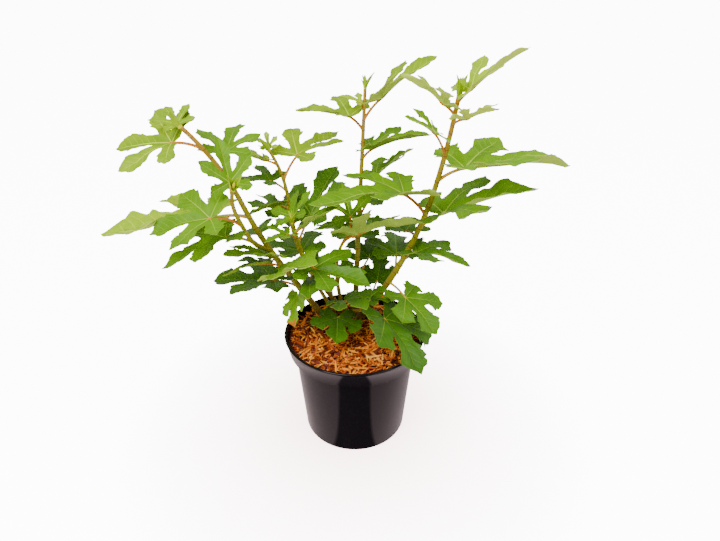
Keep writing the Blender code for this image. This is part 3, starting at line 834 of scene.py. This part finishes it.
# Leaf stalks: arched, swollen where they leave the stem, and run under the blade into its middle rib
stalkLook = dict(
    sides=10, steps=16, fullness=1.28, swell=0.40, swellReach=0.10, taper=0.14,
    neck=0.80, neckPlaces=(0.35, 0.7, 1.0), neckReach=1.6, neckTaper=0.72,
)
stalkMaterials = [
    leafMaterial("stalkOrange", (0.43, 0.130, 0.020), (0.44, 0.23, 0.025), 0.42, 0.8, 0.1),
    leafMaterial("stalkTan", (0.46, 0.25, 0.035), (0.36, 0.30, 0.02), 0.42, 0.8, 0.1),
    leafMaterial("stalkGreen", (0.28, 0.31, 0.03), (0.30, 0.16, 0.03), 0.45, 0.7, 0.1),
]


def addStalk(mesh, name, row, finish):
    look = stalkLook
    base, joint = pointAt(name, row["at"]), leafJoint(name, row)
    radius = look["fullness"] * (growth["stalkRadius"] + growth["stalkRadiusByBlade"] * row["blade"])
    along, _, up = bladeFrame(row)
    path, radii = [], []
    for i in range(look["steps"] + 1):
        share = i / look["steps"]
        arch = growth["stalkArch"] * row["stalk"] * 4 * share * (1 - share)
        path.append(base.lerp(joint, share) + Vector((0, 0, arch)))
        swollen = 1 + look["swell"] * exp(-share / look["swellReach"])
        radii.append(radius * swollen * (1 - look["taper"] * share))
    for share in look["neckPlaces"]:
        reach = look["neckReach"] * growth["stalkSink"] * row["blade"] * share
        path.append(joint + along * reach - up * radius * 0.25)
        radii.append(radius * look["neck"] * (1 - look["neckTaper"] * share))
    addPart(mesh, *tube(path, radii, look["sides"]), finish)


for name in shoots:
    mesh = newMesh()
    for number, row in enumerate(shoots[name]["leaves"]):
        rng = random.Random(300 + leafSeed(name, number))
        finish = 0 if rng.random() < row["at"] * 0.9 else rng.choice((1, 1, 2))
        addStalk(mesh, name, row, finish)
    dress(finishMesh("stalks_" + name, mesh, stalkMaterials), "foliage")
print("leaf stalks made")


# Stems: brown and ridged at the foot, olive above and tan at the tips, ringed where leaves grow or grew
stemLook = dict(
    sides=22, step=0.0010, leastSteps=20, footDepth=0.0015, woodTop=(0.16, 0.24), greenTop=(0.34, 0.46),
    ringGap=0.0165, ringWidth=0.0013, ringSwell=0.07, furrow=0.030, wobble=0.014, woodyReach=2.2,
    budSides=12, budSteps=7, budFullness=1.25, leastBud=0.00012,
    budScales=((0.0, 0.0, 1.0, 1.0), (1.9, 0.55, 0.72, 0.8)),  # turn, shift, reach and fatness
    axilBud=0.0026, axilSides=8, axilLift=0.0035,
    axilShape=((0, 0.34), (0.3, 0.42), (0.6, 0.33), (0.85, 0.17), (1.0, 0.03)),
)


def stemMaterial(name, foot, middle, tip, dark, roughness):
    material, nodes, links, shader = newMaterial(name, roughness, 0.2)
    place = nodes.new("ShaderNodeSeparateXYZ")
    links.new(objectPlace(nodes), place.inputs[0])
    lower = spread(nodes, links, place.outputs["Z"], *stemLook["woodTop"])
    upper = spread(nodes, links, place.outputs["Z"], *stemLook["greenTop"])
    colour = mixColours(nodes, links, lower, (*foot, 1), (*middle, 1))
    colour = mixColours(nodes, links, upper, colour, (*tip, 1))
    streaks = placeGroup(nodes, streakGroup, Dark_Colour=(*dark, 1), Scale=700.0, Stretch=0.12,
                         Amount=0.40)
    links.new(colour, streaks.inputs["Colour"])
    links.new(streaks.outputs["Colour"], shader.inputs["Base Color"])
    bumped(nodes, links, shader, streaks.outputs["Height"], 0.35)
    return material


stemMaterials = [
    stemMaterial("stemBark", foot=(0.16, 0.085, 0.012), middle=(0.235, 0.225, 0.008),
                 tip=(0.34, 0.165, 0.012), dark=(0.11, 0.055, 0.006), roughness=0.42),
    stemMaterial("stemRing", foot=(0.06, 0.03, 0.010), middle=(0.17, 0.065, 0.012),
                 tip=(0.25, 0.085, 0.015), dark=(0.06, 0.02, 0.006), roughness=0.6),
    leafMaterial("budSheath", (0.46, 0.54, 0.012), (0.50, 0.42, 0.015), 0.4, 0.7, 0.1),
]
barkSlot, ringSlot, budSlot = range(3)


def ringPlaces(name):  # shares of the length where leaves grow, and scars of fallen ones between them
    shoot = shoots[name]
    places = [row["at"] for row in shoot["leaves"] if 0 < row["at"] < 1]
    gap, rng = stemLook["ringGap"] / shoot["length"], random.Random(len(name) + 60)
    at = 0.6 * gap
    while at < 0.96:
        if all(abs(at - p) > 0.45 * gap for p in places):
            places.append(at)
        at += gap * rng.uniform(0.7, 1.3)
    return sorted(places)


def addBark(mesh, name):
    look, shoot = stemLook, shoots[name]
    length, rings = shoot["length"], ringPlaces(name)
    count = max(look["leastSteps"], round(length / look["step"]))
    path, radii, dark = [], [], []
    for k in range(count + 1):
        share = k / count
        swell = max(exp(-(((share - r) * length) / look["ringWidth"]) ** 2) for r in rings)
        woody = max(0.0, 1 - share * look["woodyReach"])
        radius = stemRadius(name, share) * (1 + look["ringSwell"] * swell)
        ring = []
        for i in range(look["sides"]):
            a = 2 * pi * i / look["sides"]
            ridge = noise.noise((cos(a) * 3, sin(a) * 3, share * length * 60))
            bump = noise.noise((cos(a) * 1.2, sin(a) * 1.2, share * length * 160 + 9))
            ring.append(radius * (1 + look["furrow"] * (0.4 + woody) * ridge + look["wobble"] * bump))
        path.append(pointAt(name, share))
        radii.append(ring)
        dark.append(any(0 < (r - share) * length < 1.01 * look["step"] for r in rings))
    if shoot["foot"]:
        path[0] = path[0] - Vector((0, 0, look["footDepth"]))
    points, faces = tube(path, radii, look["sides"])
    addPart(mesh, points, faces, [ringSlot if dark[f[0] // look["sides"]] else barkSlot for f in faces])


def addEndBud(mesh, name):  # a long pointed sheath with one scale wrapped round it
    look = stemLook
    tip, direction, radius = pointAt(name, 1.0), directionAt(name, 1.0), stemRadius(name, 1.0)
    for turn, shift, reach, fat in look["budScales"]:
        aside = frames([tip, tip + direction])[0][1]
        aside = (aside * cos(turn) + direction.cross(aside) * sin(turn)) * radius * shift
        path, radii = [], []
        for k in range(look["budSteps"] + 1):
            share = k / look["budSteps"]
            path.append(tip + aside * (1 - share) + direction * (growth["budLength"] * reach * share))
            full = radius * fat * look["budFullness"] * (1 - share**1.7) * (0.80 + 0.6 * share)
            radii.append(max(look["leastBud"], full))
        addPart(mesh, *tube(path, radii, look["budSides"]), budSlot)


def addAxilBuds(mesh, name):  # a small bud in the angle of every leaf
    look, shoot = stemLook, shoots[name]
    size = look["axilBud"]
    for row in shoot["leaves"]:
        outward, up = stalkDirection(row), directionAt(name, row["at"])
        level = outward - up * outward.dot(up)
        if level.length < 0.1 or row["at"] > 0.97:
            continue
        level.normalize()
        start = pointAt(name, row["at"] + look["axilLift"] / shoot["length"])
        start = start + level * stemRadius(name, row["at"]) * 0.8
        lean = (up * 0.8 + level * 0.6).normalized()
        path = [start + lean * size * share for share, _ in look["axilShape"]]
        radii = [size * full for _, full in look["axilShape"]]
        addPart(mesh, *tube(path, radii, look["axilSides"]), budSlot)


for name in shoots:
    mesh = newMesh()
    for add in (addBark, addEndBud, addAxilBuds):
        add(mesh, name)
    node = ["stem_" + name] if "stem_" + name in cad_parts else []
    dress(finishMesh("stem_bark_" + name, mesh, stemMaterials, 70), "bark", *node)
print("stems made")


# Pot: one moulded shell, its collar and rim rounded, with drain holes through its floor
pot = dict(
    height=0.153, rim=0.095, collarHeight=0.023, collarFoot=0.0895, bodyTop=0.0815, base=0.071,
    wall=0.0016, floor=0.0025, sides=160, footRound=0.002, collarRound=0.0008, lipRound=0.0014,
    holes=8, holeRadius=0.0045, holeCircle=0.055, holeSides=24,
)
potFinish = dict(
    colour=(0.003, 0.0025, 0.0032), dust=(0.012, 0.010, 0.010), dustAmount=0.20, tint=(1.0, 0.84, 0.87),
    roughness=(0.05, 0.12), specular=0.20, grain=0.02, grainDepth=0.0003,
)


def roundCorner(centre, radius, start, end, steps=5):
    angles = [radians(start + (end - start) * k / steps) for k in range(steps + 1)]
    return [(centre[0] + radius * cos(a), centre[1] + radius * sin(a)) for a in angles]


def potOutside():  # up the body, out along the step under the collar, and round the lip
    foot = pot["height"] - pot["collarHeight"]
    low, edge, lip = pot["footRound"], pot["collarRound"], pot["lipRound"]
    return [
        (0, 0),
        *roundCorner((pot["base"] - low, low), low, -90, -6),
        (pot["bodyTop"] - 0.0004, foot - 0.008),
        (pot["bodyTop"], foot - 0.004),
        (pot["bodyTop"] + 0.0008, foot - 0.0034),
        (pot["collarFoot"] - 0.0016, foot - 0.0010),
        *roundCorner((pot["collarFoot"] - edge, foot), edge, -80, -4),
        (pot["rim"] - 0.0016, pot["height"] - 0.0045),
        (pot["rim"] - 0.0009, pot["height"] - 0.0038),
        *roundCorner((pot["rim"] - lip, pot["height"] - lip), lip, 0, 90, 7),
    ]


def potInside():
    foot, wall = pot["height"] - pot["collarHeight"], pot["wall"]
    return [
        (pot["rim"] - 0.0034, pot["height"] - 0.0008),
        (pot["collarFoot"] - wall, foot + 0.001),
        (pot["bodyTop"] - wall, foot - 0.003),
        (pot["base"] - wall, pot["floor"]),
        (0, pot["floor"]),
    ]


def plasticMaterial():  # black plastic with a faint moulded grain, hand marks and a little dust
    look = potFinish
    material, nodes, links, shader = newMaterial("potPlastic", 0.2, look["specular"])
    shader.inputs["Specular Tint"].default_value = (*look["tint"], 1)
    where = objectPlace(nodes)
    marks = noiseNode(nodes, links, where, 38, 5, "hand marks")
    links.new(spread(nodes, links, marks, 0.3, 0.75, *look["roughness"]), shader.inputs["Roughness"])
    dust = noiseNode(nodes, links, where, 120, 6, "dust")
    dust = spread(nodes, links, dust, 0.55, 0.8, 0.0, look["dustAmount"])
    colour = mixColours(nodes, links, dust, (*look["colour"], 1), (*look["dust"], 1))
    links.new(colour, shader.inputs["Base Color"])
    grain = noiseNode(nodes, links, where, 900, 2, "moulded grain")
    bumped(nodes, links, shader, grain, look["grain"], look["grainDepth"])
    return material


def drilled(piece):
    cutter, sides = bmesh.new(), pot["holeSides"]
    for i in range(pot["holes"]):
        angle = 2 * pi * (i + 0.5) / pot["holes"]
        centre = (pot["holeCircle"] * cos(angle), pot["holeCircle"] * sin(angle))
        points = [(pot["holeRadius"] * cos(a) + centre[0], pot["holeRadius"] * sin(a) + centre[1])
                  for a in (2 * pi * k / sides for k in range(sides))]
        low = [cutter.verts.new((*p, -0.005)) for p in points]
        high = [cutter.verts.new((*p, 0.008)) for p in points]
        for k in range(sides):
            cutter.faces.new((low[k], low[(k + 1) % sides], high[(k + 1) % sides], high[k]))
        cutter.faces.new(low[::-1])
        cutter.faces.new(high)
    data = bpy.data.meshes.new("drainCutter")
    cutter.to_mesh(data)
    cutter.free()
    tool = bpy.data.objects.new("drainCutter", data)
    bpy.context.scene.collection.objects.link(tool)
    cut = piece.modifiers.new("drain", "BOOLEAN")
    cut.operation, cut.solver, cut.object = "DIFFERENCE", "EXACT", tool
    done = bpy.data.meshes.new_from_object(piece.evaluated_get(bpy.context.evaluated_depsgraph_get()))
    piece.modifiers.clear()
    piece.data = done
    bpy.data.objects.remove(tool)


mesh = newMesh()
addPart(mesh, *lathe(potOutside() + potInside(), pot["sides"]), 0)
shell = finishMesh("pot_shell", mesh, [plasticMaterial()], 40)
drilled(shell)
dress(shell, "pot_plastic", "pot")
print("pot made")


# Potting mix: a dark body that fills the pot, with a lumpy top, and shredded bark strewn on it
mix = dict(
    top=0.1415, sides=96, rings=26, lump=0.0016, clearance=0.0003,
    lowest=0.1425, highest=0.1470, edgeGap=0.0012,
    chips=2100, chipLength=(0.006, 0.014), chipWidth=(0.12, 0.24), thickness=(0.0006, 0.0014), tilt=17,
    slivers=36, sliverLength=(0.014, 0.023), sliverWidth=(0.0018, 0.0028),
    fibres=550, fibreLength=(0.006, 0.015), fibreWidth=(0.0004, 0.0009),
    finishShares=(28, 23, 5, 26, 18), sliverFinishes=(0, 1, 1, 2), shadedLowFinishes=(3, 4, 4, 0),
)


def innerRadius(z):  # the pot's inside, less a hair
    foot, wall, clearance = pot["height"] - pot["collarHeight"], pot["wall"], mix["clearance"]
    if z < foot:
        slope = (pot["bodyTop"] - pot["base"]) * (z - pot["floor"]) / (foot - pot["floor"])
        return pot["base"] - wall + slope - clearance
    share = (z - foot) / (pot["height"] - foot)
    return pot["collarFoot"] - wall + (pot["rim"] - 0.0018 - pot["collarFoot"]) * share - clearance


def woodMaterial(name, colour, dark, roughness):
    material, nodes, links, shader = newMaterial(name, roughness, 0.22)
    streaks = placeGroup(nodes, streakGroup, Colour=(*colour, 1), Dark_Colour=(*dark, 1), Scale=650.0,
                         Stretch=0.5, Amount=0.6)
    links.new(streaks.outputs["Colour"], shader.inputs["Base Color"])
    bumped(nodes, links, shader, streaks.outputs["Height"], 0.5)
    return material


def soilBody():
    foot, low, rings = pot["height"] - pot["collarHeight"], pot["floor"] + mix["clearance"], mix["rings"]
    top, edge = mix["top"], innerRadius(mix["top"])
    profile = [(0, low), (innerRadius(pot["floor"]) - 0.0002, low),
               (innerRadius(foot - 0.0031), foot - 0.0031), (innerRadius(foot + 0.0012), foot + 0.0012)]
    profile += [(edge, top)] + [(edge * (1 - k / rings), top) for k in range(1, rings)] + [(0, top)]
    points, faces = lathe(profile, mix["sides"])
    lumpy = []
    for x, y, z in points:
        if z >= top - 1e-6 and hypot(x, y) < edge - 0.001:
            broad, fine = noise.noise((x * 140, y * 140, 3.0)), noise.noise((x * 500, y * 500, 1.0))
            z += mix["lump"] * broad + 0.4 * mix["lump"] * fine
        lumpy.append((x, y, z))
    mesh = newMesh()
    addPart(mesh, lumpy, faces, 0)
    material = woodMaterial("pottingMix", (0.08, 0.014, 0.007), (0.03, 0.007, 0.005), 0.9)
    dress(finishMesh("potting_soil", mesh, [material], 60), "bark_mulch", "potting_mix")


chipMaterials = [
    woodMaterial("chipOrange", (0.62, 0.145, 0.008), (0.34, 0.040, 0.004), 0.5),
    woodMaterial("chipTan", (0.78, 0.285, 0.022), (0.52, 0.11, 0.007), 0.45),
    woodMaterial("chipStraw", (0.92, 0.46, 0.070), (0.70, 0.24, 0.02), 0.45),
    woodMaterial("chipRust", (0.32, 0.045, 0.005), (0.14, 0.016, 0.003), 0.6),
    woodMaterial("chipDark", (0.11, 0.016, 0.007), (0.04, 0.007, 0.005), 0.65),
]


def addChip(mesh, rng, centre, length, width, thickness, tilt, finish):
    turn = rng.uniform(0, pi * 2)
    along = pointing(turn, tilt)
    side = Vector((-sin(turn), cos(turn), rng.uniform(-0.5, 0.5))).normalized()
    up = along.cross(side)
    bend = rng.uniform(-0.05, 0.05) * length
    points, faces = [], []
    ends = (rng.uniform(0.25, 0.8), rng.uniform(0.15, 0.7))
    for k, share in enumerate((-0.5, -0.2, 0.2, 0.5)):
        taper = (ends[0], 1.0, rng.uniform(0.8, 1.0), ends[1])[k]
        middle = centre + along * share * length + up * bend * (0.25 - share * share) * 4
        for a, b in ((-1, -1), (1, -1), (1, 1), (-1, 1)):
            jitter = rng.uniform(0.8, 1.2)
            slant = along * rng.uniform(-0.08, 0.08) * length if k in (0, 3) else Vector((0, 0, 0))
            corner = side * a * width / 2 * taper * jitter
            points.append(middle + corner + up * b * thickness / 2 * taper + slant)
    for k in range(3):
        for i in range(4):
            j = (i + 1) % 4
            faces.append((4 * k + i, 4 * k + j, 4 * k + 4 + j, 4 * k + 4 + i))
    faces += [(3, 2, 1, 0), (12, 13, 14, 15)]
    addPart(mesh, points, faces, finish)


def strewBark():
    rng = random.Random(41)
    mesh = newMesh()
    stems = [(axes[n][0], 0.6 * shoots[n]["footDiameter"]) for n in shoots if shoots[n]["foot"]]
    for k in range(mix["chips"] + mix["fibres"]):
        thin, big = k >= mix["chips"], k < mix["slivers"]
        if thin:
            length, width = rng.uniform(*mix["fibreLength"]), rng.uniform(*mix["fibreWidth"])
        else:
            length = rng.uniform(*mix["chipLength"]) * rng.uniform(0.7, 1.3)
            width = length * rng.uniform(*mix["chipWidth"])
        if big:
            length, width = rng.uniform(*mix["sliverLength"]), rng.uniform(*mix["sliverWidth"])
        thickness = width * rng.uniform(0.6, 1.0) if thin else rng.uniform(*mix["thickness"])
        highest = mix["highest"] if rng.random() < 0.4 else mix["highest"] - 0.0018
        height = rng.uniform(mix["lowest"], highest)
        height = mix["highest"] - 0.0006 if big else height
        reach = innerRadius(height) - mix["edgeGap"] - 0.4 * length
        radius, angle = reach * sqrt(rng.random()), rng.uniform(0, 2 * pi)
        centre = Vector((radius * cos(angle), radius * sin(angle), height))
        if any((centre - foot).to_2d().length < clear + 0.3 * length for foot, clear in stems):
            continue
        finish = rng.choices(range(5), mix["finishShares"])[0]
        finish = rng.choice(mix["sliverFinishes"]) if big else finish
        # the lowest chips, lying under the others, mostly take the rust and dark finishes: painted shade
        if height < mix["lowest"] + 0.001:
            finish = rng.choice(mix["shadedLowFinishes"])
        tilt = radians(rng.gauss(0, mix["tilt"]))
        addChip(mesh, rng, centre, length, width, thickness, tilt, finish)
    dress(finishMesh("bark_chips", mesh, chipMaterials, 25), "bark_mulch")
    print("bark chips:", len(mesh["faces"]), "faces")


soilBody()
strewBark()


# Setting: a pale floor, soft light from above and both sides, and the camera
studio = dict(
    # by the pot the floor glows weaker and pinker: a painted shadow
    floor=24.0, floorSteps=24, floorColour=(0.95, 0.90, 0.905), floorGlow=11.0, glowInPaintedShadow=4.8,
    # the floor's darker colours seen only in reflections, darkest in a wedge before the pot: a painted
    # reflection on the pot
    paintedShadowColour=(1.0, 0.70, 0.72), shadeStart=0.05, shadeEnd=0.34, paintedReflectionColour=(0.60, 0.47, 0.50),
    paintedDarkReflection=(0.05, 0.035, 0.05), frontWedge=0.47, wedgeEdge=0.05,
    world=(1.0, 0.99, 0.985), worldStrength=1.05, worldGloss=0.60, worldSeen=11.0,
    lens=28.0, sensor=36.0, eye=(0.0073, -0.6241, 0.597), pitch=29.4,
    lamps=(
        dict(name="keyLight", at=(-0.6, -0.9, 1.5), size=0.9, power=40, colour=(1.0, 0.985, 0.96)),
        dict(name="fillLight", at=(1.1, -0.3, 1.2), size=1.2, power=16, colour=(0.97, 0.985, 1.0)),
    ),
    target=(0.0, 0.0, 0.25),
)


def frontShade(nodes, links):  # 0 in a wedge of the floor that paints a dark reflection on the pot's front, and 1 outside it
    place = nodes.new("ShaderNodeSeparateXYZ")
    links.new(objectPlace(nodes), place.inputs[0])
    forward = calculated(nodes, links, "MULTIPLY", place.outputs["Y"], -1.0)
    forward = calculated(nodes, links, "MAXIMUM", forward, 0.001)
    aside = calculated(nodes, links, "ABSOLUTE", place.outputs["X"])
    slope = calculated(nodes, links, "DIVIDE", aside, forward)
    wedge, edge = studio["frontWedge"], studio["wedgeEdge"]
    return spread(nodes, links, slope, wedge - edge, wedge + edge)


def floorMaterial():  # seen as the overexposed white of a product picture, with a pinker, greyer painted shadow by the pot and darker painted reflections
    material, nodes, links, shader = newMaterial("paleFloor", 0.6, 0.2)
    shade = noiseNode(nodes, links, objectPlace(nodes), 2.0, 2, "floor shade")
    low = tuple(c * 0.99 for c in studio["floorColour"])
    shade = mixColours(nodes, links, shade, (*studio["floorColour"], 1), (*low, 1))
    rays = nodes.new("ShaderNodeLightPath").outputs
    # in reflections the floor shows darker, pinker colours, darkest in the front wedge: a painted reflection
    # on the pot
    front, around = (*studio["paintedDarkReflection"], 1), (*studio["paintedReflectionColour"], 1)
    mirrored = mixColours(nodes, links, frontShade(nodes, links), front, around)
    shade = mixColours(nodes, links, rays["Is Glossy Ray"], shade, mirrored)
    links.new(shade, shader.inputs["Base Color"])
    place = nodes.new("ShaderNodeVectorMath")
    place.operation = "LENGTH"
    links.new(objectPlace(nodes), place.inputs[0])
    # nearer the pot the floor glows weaker and pinker: a painted shadow
    away = spread(nodes, links, place.outputs["Value"], studio["shadeStart"], studio["shadeEnd"])
    colour = mixColours(nodes, links, away, (*studio["paintedShadowColour"], 1), (1, 1, 1, 1))
    links.new(colour, shader.inputs["Emission Color"])
    glow = spread(nodes, links, away, 0, 1, studio["glowInPaintedShadow"], studio["floorGlow"])
    glow = calculated(nodes, links, "MULTIPLY", rays["Is Camera Ray"], glow)
    links.new(glow, shader.inputs["Emission Strength"])
    return material


def makeFloor():
    mesh = newMesh()
    half, steps = studio["floor"] / 2, studio["floorSteps"]
    points = [(-half + studio["floor"] * i / steps, -half + studio["floor"] * j / steps, -0.0002)
              for j in range(steps + 1) for i in range(steps + 1)]
    row = steps + 1
    faces = [(j * row + i, j * row + i + 1, (j + 1) * row + i + 1, (j + 1) * row + i)
             for j in range(steps) for i in range(steps)]
    addPart(mesh, points, faces, 0)
    finishMesh("floor", mesh, [floorMaterial()])


def makeLights():
    world = bpy.data.worlds.new("studioWorld")
    bpy.context.scene.world = world
    world.use_nodes = True
    nodes, links = world.node_tree.nodes, world.node_tree.links
    sky = nodes["Background"]
    sky.inputs["Color"].default_value = (*studio["world"], 1)
    rays = nodes.new("ShaderNodeLightPath").outputs
    lit = spread(nodes, links, rays["Is Glossy Ray"], 0, 1, studio["worldStrength"], studio["worldGloss"])
    strength = spread(nodes, links, rays["Is Camera Ray"], 0, 1, lit, studio["worldSeen"])
    links.new(strength, sky.inputs["Strength"])
    for lamp in studio["lamps"]:
        data = bpy.data.lights.new(lamp["name"], "AREA")
        data.size, data.energy, data.color = lamp["size"], lamp["power"], lamp["colour"]
        light = bpy.data.objects.new(lamp["name"], data)
        light.location = lamp["at"]
        aim = Vector(studio["target"]) - light.location
        light.rotation_euler = aim.to_track_quat("-Z", "Y").to_euler()
        bpy.context.scene.collection.objects.link(light)


def makeCamera():
    data = bpy.data.cameras.new("camera")
    data.lens, data.sensor_width, data.sensor_fit = studio["lens"], studio["sensor"], "HORIZONTAL"
    data.clip_start = 0.02
    camera = bpy.data.objects.new("camera", data)
    camera.location = studio["eye"]
    camera.rotation_euler = (radians(90 - studio["pitch"]), 0, 0)
    bpy.context.scene.collection.objects.link(camera)
    bpy.context.scene.camera = camera


makeFloor()
makeLights()
makeCamera()
print("setting made")
